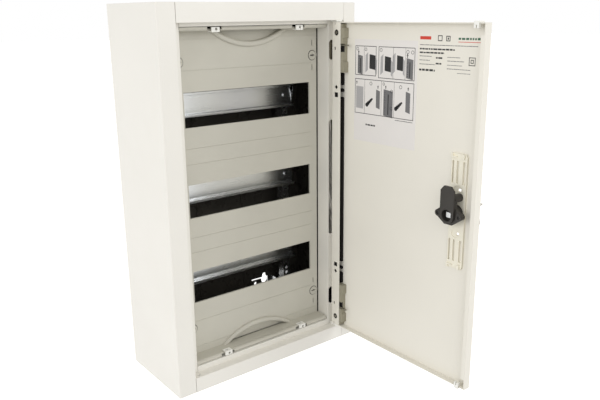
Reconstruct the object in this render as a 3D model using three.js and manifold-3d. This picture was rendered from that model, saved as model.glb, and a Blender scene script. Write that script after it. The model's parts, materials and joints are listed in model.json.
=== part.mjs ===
// Wall-mounted sheet-steel distribution cabinet, door open at a right angle. Millimetres, +Z up.
// The origin is the centre of the back (wall) face: the front looks along -Y and +X is on the right.
import * as THREE from "three";
import { mergeVertices } from "three/addons/utils/BufferGeometryUtils.js";
import Module from "manifold-3d";

const wasm = await Module();
wasm.setup();

// ---------------------------------------------------------------- driving dimensions
const WIDTH = 318;
const HEIGHT = 524;
const DEPTH = 140;
const SHEET = 1.5;

const ROW_PITCH = 125; // distance between the rows of modular devices
const WINDOW_WIDTH = 212; // twelve modules of 17.5 mm and a little clearance
const WINDOW_HEIGHT = 47; // the 45 mm nose of a modular device and a little clearance

const STILE_LEFT = 26;
const STILE_RIGHT = 21;
const RAIL_TOP = 24.5;
const RAIL_BOTTOM = 21.5;
const SEAM = 0.4; // visible joint between the stiles and the rails

const RECESS = 15; // front plane to the flange that the door closes against
const THROAT_HALF_WIDTH = 121.5; // clear opening inside that flange
const THROAT_HALF_HEIGHT = 232.5;
const THROAT_DEPTH = 25;

const COVER_SETBACK = 40.5; // front plane to the face of the device cover
const COVER_WALL = 2.5;
const COVER_HALF_WIDTH = 119.8;
const COVER_PLATE_HALF_HEIGHT = 226.8;
const COVER_LEDGE = 23;

const RAIL_SETBACK = 88; // front plane to the front of the mounting rails
const RAIL_HALF_LENGTH = 113;
const UPRIGHT_X = 100;
const UPRIGHT_WIDTH = 12;
const UPRIGHT_DEPTH = 14;
const HOLE_PITCH = ROW_PITCH / 14;
const SUPPORT_SETBACK = 52;

const TURN_SCREW_X = 111.5;
const TURN_SCREW_Z = 1.5 * ROW_PITCH;

const DOOR_SHEET = 1;
const DOOR_WIDTH = 264.8;
const DOOR_HALF_HEIGHT = 235;
const DOOR_FLANGE = 10.8;
const DOOR_PROUD = 1.6; // closed, the door stands this far in front of the stiles
const HINGE_GAP = 4.8; // closed door to the right stile
const AXIS_TO_FACE = 3; // hinge axis to the outer face of the door
const AXIS_TO_EDGE = 4; // hinge axis to the hinge edge of the door

const LOCK_FROM_FREE_EDGE = 34;
const LOCK_Z = 0.5;
const GAP = 0.3; // between pieces that touch on the real object
const ROUND = 20; // sides of a small round piece

// ---------------------------------------------------------------- worked-out places
const halfWidth = WIDTH / 2;
const halfHeight = HEIGHT / 2;
const frontY = -DEPTH;
const stileInnerLeft = -halfWidth + STILE_LEFT;
const stileInnerRight = halfWidth - STILE_RIGHT;
const recessTop = halfHeight - RAIL_TOP;
const recessBottom = -halfHeight + RAIL_BOTTOM;
const flangeY = frontY + RECESS;
const throatBackY = flangeY + THROAT_DEPTH;
const coverY = frontY + COVER_SETBACK;
const ledgeY = coverY - COVER_LEDGE;
const railY = frontY + RAIL_SETBACK;
const supportY = frontY + SUPPORT_SETBACK;
const rows = [ROW_PITCH, 0, -ROW_PITCH];

const axisX = stileInnerRight - HINGE_GAP - AXIS_TO_EDGE;
const axisY = frontY - DOOR_PROUD + AXIS_TO_FACE;
const doorOuterX = axisX + AXIS_TO_FACE;
const doorInnerX = doorOuterX - DOOR_SHEET;
const doorFlangeX = doorOuterX - DOOR_FLANGE;
const doorHingeY = axisY + AXIS_TO_EDGE;
const doorFreeY = doorHingeY - DOOR_WIDTH;
const lockY = doorFreeY + LOCK_FROM_FREE_EDGE;

// ---------------------------------------------------------------- solids
// A closed three.js geometry as a solid that can be joined and cut.
function solid(geometry) {
  const bare = geometry.index ? geometry.toNonIndexed() : geometry;
  const positions = new THREE.BufferGeometry().setAttribute("position", bare.getAttribute("position"));
  const merged = mergeVertices(positions, 1e-3);
  return new wasm.Manifold(
    new wasm.Mesh({
      numProp: 3,
      vertProperties: new Float32Array(merged.attributes.position.array),
      triVerts: new Uint32Array(merged.index.array),
    }),
  );
}

function join(...solids) {
  return solids.reduce((whole, piece) => whole.add(piece));
}

function cut(body, ...tools) {
  return tools.reduce((left, tool) => left.subtract(tool), body);
}

function box(x0, x1, y0, y1, z0, z1) {
  const geometry = new THREE.BoxGeometry(x1 - x0, y1 - y0, z1 - z0);
  return solid(geometry.translate((x0 + x1) / 2, (y0 + y1) / 2, (z0 + z1) / 2));
}

// A flat outline pushed along one axis. Its two coordinates are the other two axes, in X, Y, Z order.
function prism(axis, outline, from, to) {
  const geometry = new THREE.ExtrudeGeometry(new THREE.Shape(outline), {
    depth: to - from,
    bevelEnabled: false,
    steps: 1,
  });
  if (axis === "z") geometry.translate(0, 0, from);
  if (axis === "y") geometry.rotateX(Math.PI / 2).translate(0, to, 0);
  if (axis === "x") {
    const turn = new THREE.Matrix4().makeBasis(
      new THREE.Vector3(0, 1, 0),
      new THREE.Vector3(0, 0, 1),
      new THREE.Vector3(1, 0, 0),
    );
    geometry.applyMatrix4(turn).translate(from, 0, 0);
  }
  return solid(geometry);
}

// The two values in rising order, after both are mirrored for the lower or left copy of a piece.
function span(side, a, b) {
  return side > 0 ? [a, b] : [-b, -a];
}

function points(pairs) {
  return pairs.map(([u, v]) => new THREE.Vector2(u, v));
}

function circle(u, v, radius, sides = ROUND) {
  return Array.from({ length: sides }, (_, i) => {
    const angle = (2 * Math.PI * (i + 0.5)) / sides;
    return new THREE.Vector2(u + radius * Math.cos(angle), v + radius * Math.sin(angle));
  });
}

// The same outline, turned the way that ExtrudeGeometry wants it.
function forward(outline) {
  return THREE.ShapeUtils.area(outline) < 0 ? outline.reverse() : outline;
}

// A strip with round ends, from (u, v0) to (u, v1).
function oblong(u, v0, v1, radius, sides = 8) {
  const end = (v, start) =>
    Array.from({ length: sides + 1 }, (_, i) => {
      const angle = start + (Math.PI * i) / sides;
      return new THREE.Vector2(u + radius * Math.cos(angle), v + radius * Math.sin(angle));
    });
  return [...end(v1 - radius, 0), ...end(v0 + radius, Math.PI)];
}

// Bent sheet: the outline of a path and the same path moved to its left by the thickness, or to its right
// where the thickness is negative.
function sheet(path, thickness) {
  const line = points(path);
  const normal = (a, b) => {
    const d = b.clone().sub(a).normalize();
    return new THREE.Vector2(-d.y, d.x);
  };
  const moved = line.map((p, i) => {
    const before = i > 0 ? normal(line[i - 1], p) : normal(p, line[i + 1]);
    const after = i < line.length - 1 ? normal(p, line[i + 1]) : before;
    const mitre = before.clone().add(after);
    return p.clone().addScaledVector(mitre, (2 * thickness) / mitre.lengthSq());
  });
  return forward([...line, ...moved.reverse()]);
}

// ---------------------------------------------------------------- materials and the tree
const paint = (colour, roughness, metalness = 0) =>
  new THREE.MeshStandardMaterial({ color: colour, roughness, metalness });
const finish = {
  housing: paint(0xebe9e4, 0.45),
  door: paint(0xe2e0d4, 0.45),
  cover: paint(0xcdcbc3, 0.6),
  liner: paint(0x1c1a18, 0.5),
  zinc: paint(0xb4b7b8, 0.35, 1),
  brass: paint(0xb5963f, 0.35, 1),
  blackPlastic: paint(0x3a3834, 0.45),
  beigePlastic: paint(0x8c8776, 0.6),
  whitePlastic: paint(0xeeece6, 0.5),
  creamPlastic: paint(0xe8e4d4, 0.55),
  handle: paint(0xd9d6cc, 0.45),
  paper: paint(0xe4e3ea, 0.8),
};

const cabinet = new THREE.Group();
cabinet.name = "distribution_cabinet";

function body(name, parent = cabinet) {
  const group = new THREE.Group();
  group.name = name;
  parent.add(group);
  return group;
}

function piece(group, name, made, material) {
  const mesh = made.getMesh();
  const vertices = new Float32Array(mesh.numVert * 3);
  for (let i = 0; i < mesh.numVert; i++) {
    const start = i * mesh.numProp;
    vertices.set(mesh.vertProperties.subarray(start, start + 3), i * 3);
  }
  const geometry = new THREE.BufferGeometry();
  geometry.setAttribute("position", new THREE.BufferAttribute(vertices, 3));
  geometry.setIndex(new THREE.BufferAttribute(mesh.triVerts, 1));
  geometry.computeVertexNormals();
  const node = new THREE.Mesh(geometry, material);
  node.name = name;
  group.add(node);
}

// ---------------------------------------------------------------- housing
const housing = body("housing");
const ENTRY = { halfX: 108, y0: -95, y1: -35 }; // cable entry cut-out in the top and the bottom
const FIXING = { x: 82.5, z: 188.5 }; // slots for the wall screws, near the four corners

// The tools that cut one corner's wall fixing: an upright keyhole, a short cross slit and a small round hole.
function fixingTools(sx, sz, y0, y1) {
  const x = sx * FIXING.x;
  const z = sz * FIXING.z;
  const slit = sx > 0 ? [x - 26, x - 3] : [x + 3, x + 26];
  return [
    prism("y", oblong(x, z - 10, z + 10, 4), y0, y1),
    prism("y", circle(x + sx * 0.5, z + sz * 1.5, 6.8, 16), y0, y1),
    box(slit[0], slit[1], y0, y1, z - sz * 1.5 - 1.5, z - sz * 1.5 + 1.5),
    prism("y", circle(x - sx * 18, z + sz * 5.5, 3, 12), y0, y1),
  ];
}

function allFixings(y0, y1) {
  return [-1, 1].flatMap((sx) => [-1, 1].flatMap((sz) => fixingTools(sx, sz, y0, y1)));
}

function addBackPanel() {
  const x = halfWidth - SHEET;
  const z = halfHeight - SHEET;
  const plate = box(-x, x, -SHEET, 0, -z, z);
  piece(housing, "back_panel", cut(plate, ...allFixings(-SHEET - 1, 1)), finish.housing);
}

// Each side panel is one sheet: the wall, bent round the front edge into the stile.
function addSidePanel(name, side, stile) {
  const path = [
    [side * halfWidth, 0],
    [side * halfWidth, frontY],
    [side * (halfWidth - stile), frontY],
  ];
  const outline = sheet(path, side < 0 ? SHEET : -SHEET);
  piece(housing, name, prism("z", outline, -halfHeight, halfHeight), finish.housing);
}

// The top and the bottom: the wall, and in front of it the rail that fills the gap between the stiles.
function addEndPanel(name, up, railHeight) {
  const wallX = halfWidth - SHEET;
  const railLeft = stileInnerLeft + SEAM;
  const railRight = stileInnerRight - SEAM;
  const behindStile = frontY + SHEET;
  const wallOutline = points([
    [-wallX, 0],
    [-wallX, behindStile],
    [railLeft, behindStile],
    [railLeft, frontY],
    [railRight, frontY],
    [railRight, behindStile],
    [wallX, behindStile],
    [wallX, 0],
  ]);
  const wall = prism("z", wallOutline, ...span(up, halfHeight - SHEET, halfHeight));
  const railZ = span(up, halfHeight - railHeight, halfHeight);
  const rail = box(railLeft, railRight, frontY, behindStile, ...railZ);
  const past = span(up, halfHeight - SHEET - 1, halfHeight + 1);
  const entry = box(-ENTRY.halfX, ENTRY.halfX, ENTRY.y0, ENTRY.y1, ...past);
  piece(housing, name, cut(join(wall, rail), entry), finish.housing);
}

// A blank plate closes each cable entry until it is drilled. A collar on its inside locates it in the liner.
function addEntryPlate(name, up) {
  const inside = halfHeight - SHEET;
  const x = ENTRY.halfX - GAP;
  const plate = box(-x, x, ENTRY.y0 + GAP, ENTRY.y1 - GAP, ...span(up, inside, halfHeight));
  const collar = box(-100, 100, ENTRY.y0 + 6, ENTRY.y1 - 6, ...span(up, inside - 3.5, inside + 0.5));
  const hollow = box(-97.5, 97.5, ENTRY.y0 + 8.5, ENTRY.y1 - 8.5, ...span(up, inside - 5, inside));
  piece(housing, name, cut(join(plate, collar), hollow), finish.cover);
}

// The door frame: a recess wall, the flange that the door closes against and the throat behind it.
const NOTCHES = [
  [181.5, 209.5],
  [-87.5, 92.5],
  [-205.5, -177.5],
];

function addSideFrame(name, side, stileInner) {
  const path = [
    [stileInner, frontY + SHEET],
    [stileInner, flangeY],
    [side * THROAT_HALF_WIDTH, flangeY],
    [side * THROAT_HALF_WIDTH, throatBackY],
  ];
  let made = prism("z", sheet(path, side < 0 ? SHEET : -SHEET), recessBottom, recessTop);
  if (side > 0) {
    // clearance notches for the hinge blocks and the stiffening channel of the closed door
    const x0 = THROAT_HALF_WIDTH + 1.6;
    const x1 = x0 + 7;
    const notch = ([z0, z1]) =>
      prism(
        "y",
        points([
          [x0, z0 + 3],
          [x0 + 3, z0],
          [x1, z0],
          [x1, z1],
          [x0 + 3, z1],
          [x0, z1 - 3],
        ]),
        flangeY - 1,
        flangeY + SHEET + 1,
      );
    made = cut(made, ...NOTCHES.map(notch));
  } else {
    // slot that the lock cam swings into
    const wall = [-THROAT_HALF_WIDTH - 3, -THROAT_HALF_WIDTH + 1];
    made = cut(made, box(...wall, flangeY + 2, flangeY + 13, LOCK_Z - 14, LOCK_Z + 38));
  }
  piece(housing, name, made, finish.housing);
}

function addEndFrame(name, up, recessZ) {
  const path = [
    [frontY + SHEET, recessZ],
    [flangeY, recessZ],
    [flangeY, up * THROAT_HALF_HEIGHT],
    [throatBackY, up * THROAT_HALF_HEIGHT],
  ];
  const middle = THROAT_HALF_WIDTH - GAP;
  const profile = prism("x", sheet(path, up > 0 ? SHEET : -SHEET), -middle, middle);
  const z = Math.abs(recessZ);
  const wallY = [frontY + SHEET, flangeY + SHEET];
  const wall = box(stileInnerLeft, stileInnerRight, ...wallY, ...span(up, z, z + SHEET));
  const slitX = stileInnerLeft + 7;
  const slit = box(slitX, slitX + 3.5, frontY + 5, frontY + 7.5, ...span(up, z - 1, z + SHEET + 1));
  piece(housing, name, cut(join(profile, wall), slit), finish.housing);
}

// One black moulded tray lines the housing, so that no live part can touch the steel.
function addLiner() {
  const wall = 1.5;
  const x = halfWidth - SHEET - 0.5;
  const z = halfHeight - SHEET - 0.5;
  const back = -SHEET - GAP;
  const mouth = -98;
  const shell = cut(
    box(-x, x, mouth, back, -z, z),
    box(-x + wall, x - wall, mouth - 1, back - wall, -z + wall, z - wall),
    box(-103, 103, ENTRY.y0 + 3, ENTRY.y1 - 3, -z - 1, z + 1),
  );
  const floor = back - wall;
  const ribs = [-41, 41].map((at) => box(at - 1, at + 1, floor - 1.2, floor + 0.5, -z + 1, z - 1));
  const made = cut(join(shell, ...ribs), ...allFixings(back - 6, back + 1));
  piece(housing, "insulating_liner", made, finish.liner);
}

// ---------------------------------------------------------------- mounting frame
const carrier = body("mounting_frame");
const linerFloor = -SHEET - GAP - 1.5;
const uprightY = railY + 7.5;

function addUpright(name, side) {
  const x0 = side * UPRIGHT_X - UPRIGHT_WIDTH / 2;
  const x1 = side * UPRIGHT_X + UPRIGHT_WIDTH / 2;
  const foot = linerFloor - GAP - SHEET;
  const path = [
    [x0 - 6, foot],
    [x0, foot],
    [x0, uprightY],
    [x1, uprightY],
    [x1, foot],
    [x1 + 6, foot],
  ];
  const open = box(x0 - 7, x1 + 7, uprightY + UPRIGHT_DEPTH, 0, -185, 185);
  let made = cut(prism("z", sheet(path, SHEET), -210, 210), open);
  const count = 47;
  for (let i = 0; i < count; i++) {
    const z = (i - (count - 1) / 2) * HOLE_PITCH;
    made = made.subtract(prism("y", circle(side * UPRIGHT_X, z, 3, 6), uprightY - 1, uprightY + SHEET + 1));
  }
  piece(carrier, name, made, finish.zinc);
}

function addRail(name, z) {
  const path = [
    [railY, z + 17.5],
    [railY, z + 13.5],
    [uprightY - 1, z + 13.5],
    [uprightY - 1, z - 13.5],
    [railY, z - 13.5],
    [railY, z - 17.5],
  ];
  let made = prism("x", sheet(path, 1), -RAIL_HALF_LENGTH, RAIL_HALF_LENGTH);
  for (const x of [-UPRIGHT_X, UPRIGHT_X]) {
    made = made.subtract(prism("y", circle(x, z, 2.3, 12), uprightY - 3, uprightY + 1));
  }
  piece(carrier, name, made, finish.zinc);
}

function addRailScrew(name, x, z) {
  const head = uprightY - 1;
  const shank = prism("y", circle(x, z, 1.9, 10), head - 1, head + 9);
  const slot = box(x - 5, x + 5, head - 4, head - 1.6, z - 0.6, z + 0.6);
  const made = cut(join(prism("y", circle(x, z, 3.8, 14), head - 2.6, head), shank), slot);
  piece(carrier, name, made, finish.zinc);
}

// A folded bracket on the upright carries each quarter-turn screw of the device cover.
function addCoverBracket(name, side, up) {
  const outer = side * 118.5;
  const foot = uprightY - GAP;
  const path = [
    [outer + side * -23, foot],
    [outer, foot],
    [outer, supportY],
    [outer + side * -14, supportY],
  ];
  const x = side * TURN_SCREW_X;
  const z = up * TURN_SCREW_Z;
  const slot = [supportY - 1, supportY + SHEET + 1];
  const made = cut(
    prism("z", sheet(path, side > 0 ? -SHEET : SHEET), z - 11, z + 11),
    prism("y", circle(x, z, 4, 14), ...slot),
    box(x - 2.6, x + 2.6, ...slot, z - 6.4, z + 6.4),
  );
  piece(carrier, name, made, finish.zinc);
}

// Earth and neutral bars on their plastic carriers, behind the blank ends of the cover.
function addTerminals(prefix, z, material) {
  const back = uprightY;
  const bridge = box(-112, 112, back - 4, back - GAP, z - 5, z + 5);
  const feet = [-60, 60].map((x) => box(x - 5, x + 5, back - 12, back - 3, z - 5, z + 5));
  piece(carrier, prefix + "_bar_carrier", join(bridge, ...feet), finish.blackPlastic);
  const barBack = back - 12 - GAP;
  let bar = box(-74, 74, barBack - 9, barBack, z - 3.5, z + 3.5);
  for (let i = 0; i < 14; i++) {
    const x = (i - 6.5) * 10;
    bar = bar.add(prism("y", circle(x, z, 2.6, 8), barBack - 11, barBack - 8));
    bar = bar.subtract(box(x - 2, x + 2, barBack - 6.5, barBack - 2.5, z - 5, z + 5));
  }
  piece(carrier, prefix + "_terminal_bar", bar, material);
}

// ---------------------------------------------------------------- device cover
const CREASE_Z = 216; // a faint line across the plate near each ledge
const GROOVE_OFFSET = 51.7; // from the middle of a window to the faint line above and below it
const CLIP_X = 68.5;

// The points of a shallow arc of that half chord and rise, from left to right, with its apex at the origin.
function arc(halfChord, rise, steps) {
  const radius = (halfChord ** 2 + rise ** 2) / (2 * rise);
  const reach = Math.asin(halfChord / radius);
  return Array.from({ length: steps + 1 }, (_, i) => {
    const angle = -reach + (2 * reach * i) / steps;
    return [radius * Math.sin(angle), radius - radius * Math.cos(angle)];
  });
}

// The finger grip at each end of the cover: a raised crescent, with a pocket between it and the ledge.
const GRIP = { outerHalf: 67, outerApex: 204.2, innerHalf: 57, innerApex: 211.6, raised: 4.6, pocket: 4.5 };

function gripArc(halfChord, apex, base, up) {
  return arc(halfChord, base - apex, 16).map(([x, z]) => [x, up * (apex + z)]);
}

function gripRim(up) {
  const base = COVER_PLATE_HALF_HEIGHT + 2;
  const outer = gripArc(GRIP.outerHalf, GRIP.outerApex, base, up);
  const inner = gripArc(GRIP.innerHalf, GRIP.innerApex, base, up);
  const round = 3;
  const shape = new THREE.Shape(forward(points([...outer, ...inner.reverse()])));
  const geometry = new THREE.ExtrudeGeometry(shape, {
    depth: 1,
    bevelEnabled: true,
    bevelThickness: round,
    bevelSize: round,
    bevelOffset: -round,
    bevelSegments: 5,
    steps: 1,
  });
  geometry.rotateX(Math.PI / 2).translate(0, coverY - GRIP.raised + 1 + round, 0);
  return solid(geometry);
}

function gripPocket(up, margin, y0, y1) {
  const base = COVER_PLATE_HALF_HEIGHT;
  const rise = gripArc(GRIP.innerHalf - 3 + margin, GRIP.innerApex - margin, base, up);
  return prism("y", forward(points(rise)), y0, y1);
}

// The ledge profile turns out to the front lip through a rounded edge.
function ledgeProfile() {
  const lipEnd = THROAT_HALF_HEIGHT - 0.7;
  const half = COVER_PLATE_HALF_HEIGHT;
  const radius = 3.5;
  const turn = [0, 1, 2, 3, 4].map((i) => (Math.PI / 8) * i);
  const corner = turn.map((angle) => [
    ledgeY + radius - radius * Math.cos(angle),
    half + radius - radius * Math.sin(angle),
  ]);
  const upper = [[ledgeY, lipEnd], ...corner, [coverY, half]];
  const lower = upper.map(([y, z]) => [y, -z]).reverse();
  return [...upper, ...lower];
}

function addDeviceCover() {
  const half = COVER_PLATE_HALF_HEIGHT;
  const back = coverY + COVER_WALL;
  let made = prism("x", sheet(ledgeProfile(), COVER_WALL), -COVER_HALF_WIDTH, COVER_HALF_WIDTH);
  for (const side of [-1, 1]) {
    const edge = span(side, COVER_HALF_WIDTH - COVER_WALL, COVER_HALF_WIDTH);
    made = made.add(box(...edge, coverY + 1, coverY + 8, -half, half));
    for (const z of [-TURN_SCREW_Z, TURN_SCREW_Z]) {
      made = made.add(prism("y", circle(side * TURN_SCREW_X, z, 9.2, 24), coverY + 0.2, back - 0.2));
    }
  }
  for (const up of [-1, 1]) {
    const floor = coverY + GRIP.pocket;
    made = join(made, gripRim(up), gripPocket(up, 2, back - 0.5, floor + 2));
    made = cut(made, gripPocket(up, 0, coverY - 1, floor));
    made = cut(
      made,
      box(-58, 58, ledgeY + 4.4, ledgeY + 5.3, ...span(up, half - 1, half + 0.8)),
      box(-58, 58, ledgeY - 1, ledgeY + 0.7, ...span(up, half + 3.6, half + 4.3)),
    );
    for (const x of [-CLIP_X, CLIP_X]) {
      const recess = span(up, half + 1.4, THROAT_HALF_HEIGHT);
      made = made.subtract(box(x - 11, x + 11, ledgeY - 1, ledgeY + COVER_WALL + 2, ...recess));
    }
    for (const x of [-86, 86]) {
      const creaseZ = span(up, CREASE_Z, CREASE_Z + 0.8);
      made = made.subtract(box(x - 33, x + 33, coverY - 1, coverY + 0.5, ...creaseZ));
    }
  }
  const through = [coverY - 1, back + 1];
  for (const z of rows) {
    const w = WINDOW_WIDTH / 2;
    const h = WINDOW_HEIGHT / 2;
    made = made.subtract(box(-w, w, ...through, z - h, z + h));
    for (const line of [z - GROOVE_OFFSET, z + GROOVE_OFFSET]) {
      made = made.subtract(box(-107, 109, coverY - 1, coverY + 0.5, line - 0.4, line + 0.4));
    }
  }
  for (const z of [-TURN_SCREW_Z, TURN_SCREW_Z]) {
    for (const x of [-TURN_SCREW_X, TURN_SCREW_X]) {
      made = made.subtract(prism("y", circle(x, z, 7.6, 24), ...through));
      for (const mark of [z - 18, z + 18]) {
        made = made.subtract(box(x - 0.7, x + 0.7, coverY - 1, coverY + 1.8, mark - 4.5, mark + 4.5));
      }
    }
  }
  piece(cabinet, "device_cover", made, finish.cover);
}

// White clips snap onto the front lip of each ledge.
function addCoverClip(name, x, up) {
  const front = ledgeY - GAP;
  const ledge = COVER_PLATE_HALF_HEIGHT - GAP;
  const plate = box(x - 6, x + 6, front - 2.2, front, ...span(up, ledge - 0.5, THROAT_HALF_HEIGHT - 1));
  const hook = box(x - 6, x + 6, front - 2.2, front + 7, ...span(up, ledge - 1.4, ledge));
  const eye = prism("y", circle(x + 1, up * (ledge + 2.4), 1.8, 12), front - 3, front + 1);
  const slot = box(x - 3.5, x + 1.5, front + 2, front + 5, ...span(up, ledge - 3, ledge + 1));
  piece(cabinet, name, cut(join(plate, hook), eye, slot), finish.whitePlastic);
}

// Quarter-turn screw: a slotted head with a short cross tick, a shaft and a bar behind the support.
function addTurnScrew(name, x, z) {
  const screw = body(name + "_body");
  const headFront = coverY - 0.8;
  const head = prism("y", circle(x, z, 6.7, 24), headFront, coverY + COVER_WALL);
  const shaft = prism("y", circle(x, z, 3.2, 12), coverY, supportY + SHEET + 4);
  const bar = box(x - 4.8, x + 4.8, supportY + SHEET + GAP, supportY + SHEET + 4, z - 2, z + 2);
  const slot = box(x - 4, x + 4, headFront - 1, headFront + 2, z - 0.9, z + 0.9);
  const tick = box(x - 0.7, x + 0.7, headFront - 1, headFront + 1.2, z - 2.4, z + 2.4);
  piece(screw, name, cut(join(head, shaft, bar), slot, tick), finish.cover);
}

// ---------------------------------------------------------------- hinge lugs on the frame
const PIN_RADIUS = 1.5;
const pinBore = (z0, z1, radius) => prism("z", circle(axisX, axisY, radius), z0, z1);

function addHingeLug(name, up, recessZ) {
  const outline = points([
    [stileInnerRight - GAP, frontY + 12],
    [axisX - 5, frontY + 12],
    [axisX - 5, axisY - 1],
    [axisX - 2.5, axisY - 4.2],
    [axisX + 2.5, axisY - 4.2],
    [stileInnerRight - GAP, axisY + 1],
  ]);
  const root = Math.abs(recessZ);
  const tip = DOOR_HALF_HEIGHT + 0.5;
  const plate = prism("z", outline, ...span(up, tip, root));
  const bore = pinBore(...span(up, tip - 1, root + 1), PIN_RADIUS + GAP);
  piece(cabinet, name, cut(plate, bore), finish.whitePlastic);
}

// ---------------------------------------------------------------- door
const door = body("door");

const CHANNEL_LIP = 16.5; // width of the stiffening lip along the hinge edge
const SPRING_END = 172; // height of the fixed end of the pin springs
const HINGE_SCREW_Z = 220.4;
const lipMiddleY = doorHingeY - CHANNEL_LIP / 2;
const LOCK_REACH = 19; // outer face of the door to the far side of the lock flange
const LOCK = { collar: 11, bore: 9.2, seat: 6.2, boss: 16.5, bossProud: 0.8 };
const PLATE_Z = LOCK_Z + 1.2;
const PASSAGE = { y: [lockY - 6.6, lockY - 0.6] }; // two holes seen right through the plate and the door

// One folded sheet: the skin, its flanges, a narrow lip at the free edge and a wide one at the hinge edge.
function addDoorPanel() {
  const z = DOOR_HALF_HEIGHT;
  const t = DOOR_SHEET;
  const path = [
    [doorFlangeX, doorFreeY + 6],
    [doorFlangeX, doorFreeY],
    [doorOuterX, doorFreeY],
    [doorOuterX, doorHingeY],
    [doorFlangeX, doorHingeY],
    [doorFlangeX, doorHingeY - CHANNEL_LIP],
  ];
  let made = prism("z", sheet(path, t), -z, z);
  for (const up of [-1, 1]) {
    const lipEnd = [doorFlangeX - 1, doorFlangeX + 3, doorFreeY + t + 0.3, doorFreeY + 8];
    made = made.subtract(box(...lipEnd, ...span(up, z - 14, z + 1)));
    const inset = 0.4;
    const flange = [doorFlangeX + 0.2, doorInnerX + inset, doorFreeY + inset, doorHingeY - inset];
    made = made.add(box(...flange, ...span(up, z - t - 0.1, z - 0.1)));
  }
  const lip = [doorFlangeX - 1, doorFlangeX + t + 1];
  for (const up of [-1, 1]) {
    const diamond = 3.6;
    const middle = up * 143.2;
    made = cut(
      made,
      prism("x", circle(lipMiddleY, up * HINGE_SCREW_Z, 4.4, 20), ...lip),
      box(...lip, doorHingeY - 6.8, doorHingeY - 4.2, up * 198.2 - 2.2, up * 198.2 + 2.2),
      box(...lip, doorHingeY - 6, doorHingeY - 4, ...span(up, z - 3.5, z + 1)),
      prism(
        "x",
        points([
          [lipMiddleY - diamond, middle],
          [lipMiddleY, middle - diamond],
          [lipMiddleY + diamond, middle],
          [lipMiddleY, middle + diamond],
        ]),
        ...lip,
      ),
      box(...lip, lipMiddleY - 3.9, lipMiddleY + 3.9, up * 132 - 3.5, up * 132 + 3.5),
      pinBore(up * z - 3, up * z + 3, PIN_RADIUS + GAP),
    );
  }
  const skinCut = [doorInnerX - 1, doorOuterX + 1];
  made = made.subtract(prism("x", circle(lockY, LOCK_Z, 8, 24), ...skinCut));
  for (const offset of [-29, 29]) {
    made = made.subtract(box(...skinCut, ...PASSAGE.y, PLATE_Z + offset - 2, PLATE_Z + offset + 2));
  }
  piece(door, "door_panel", made, finish.door);
}

// A foam seal lies under the stiffening lip, between the two hinge blocks.
function addGasket() {
  const y = doorHingeY - DOOR_SHEET;
  const seal = box(doorInnerX - 3.2, doorInnerX - 0.1, y - 14.6, y - 1, -163.5, 163.5);
  piece(door, "door_gasket", seal, finish.blackPlastic);
}

// The plastic hinge blocks hold the sprung pins. Their stepped outline is seen beside the lip.
function addHingeBlock(name, up) {
  const edge = doorHingeY - DOOR_SHEET - GAP;
  const narrow = doorHingeY - 19;
  const spine = doorHingeY - 21.2;
  const wide = doorHingeY - 23.4;
  const levels = [
    [232.7, narrow],
    [227, narrow],
    [227, wide],
    [213.5, wide],
    [212, spine],
    [180.5, spine],
    [179, wide],
    [164.5, wide],
  ];
  const outline = points([[edge, up * 232.7], ...levels.map(([z, y]) => [y, up * z]), [edge, up * 164.5]]);
  const x0 = doorFlangeX + DOOR_SHEET + GAP;
  const x1 = doorInnerX - 0.1;
  const screwBore = prism("x", circle(lipMiddleY, up * HINGE_SCREW_Z, 2.1, 12), x0 - 1, x0 + 6);
  const made = cut(
    prism("x", forward(outline), x0, x1),
    box(x0 - 1, x1 + 1, spine + 5.4, edge - 1.2, ...span(up, 191.5, 207.5)),
    box(x0 - 1, axisX - 3.4, spine - 1, spine + 6, ...span(up, 193.4, 205)),
    pinBore(...span(up, SPRING_END, 234), PIN_RADIUS + GAP),
    screwBore,
  );
  piece(door, name, made, finish.beigePlastic);
}

// The screw of each hinge block: a dark washer sunk in the lip and a bright round end in its middle.
function addHingeScrew(name, up) {
  const z = up * HINGE_SCREW_Z;
  const made = join(
    prism("x", circle(lipMiddleY, z, 4.1, 20), doorFlangeX + 0.35, doorFlangeX + DOOR_SHEET),
    prism("x", circle(lipMiddleY, z, 1.8, 14), doorFlangeX - 0.5, doorFlangeX + 6.5),
  );
  piece(door, name, made, finish.zinc);
}

// A moulded plate behind the lock, with three slots at each end for other lock positions.
function addLockPlate() {
  const x = [doorInnerX - 2.8, doorInnerX];
  const y = [lockY - 13.4, lockY + 10.6];
  const length = 75.5;
  const outline = points([
    [y[0] + 2, PLATE_Z - length],
    [y[1], PLATE_Z - length],
    [y[1], PLATE_Z + length],
    [y[0] + 2, PLATE_Z + length],
    [y[0], PLATE_Z + length - 3],
    [y[0], PLATE_Z - length + 3],
  ]);
  let made = prism("x", outline, ...x);
  const past = [x[0] - 1, x[1] + 1];
  made = made.subtract(prism("x", circle(lockY, LOCK_Z, LOCK.collar + GAP, 24), ...past));
  for (const up of [-1, 1]) {
    const fromMiddle = (a, b) => span(up, a, b).map((z) => z + PLATE_Z);
    made = made.subtract(box(...past, ...PASSAGE.y, ...fromMiddle(27, 31)));
    const recess = oblong(lockY - 0.4, ...fromMiddle(22.5, 34.5), 6, 6);
    made = made.subtract(prism("x", recess, x[0] - 1, x[0] + 1));
    for (const [offset, half] of [[8, 1.4], [0.6, 1.8], [-9.6, 2.2]]) {
      made = made.subtract(box(...past, lockY + offset - half, lockY + offset + half, ...fromMiddle(37, 66)));
    }
    const rib = [x[0] - 2.2, x[0] + 1];
    made = join(
      made,
      box(...rib, y[1] - 9, y[1], ...fromMiddle(70.5, 72)),
      box(...rib, y[1] - 3, y[1], ...fromMiddle(71, 75.5)),
      box(...rib, y[0] + 3, y[0] + 7, ...fromMiddle(69.5, 75.5)),
    );
  }
  piece(door, "lock_plate", made, finish.creamPlastic);
}

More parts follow.
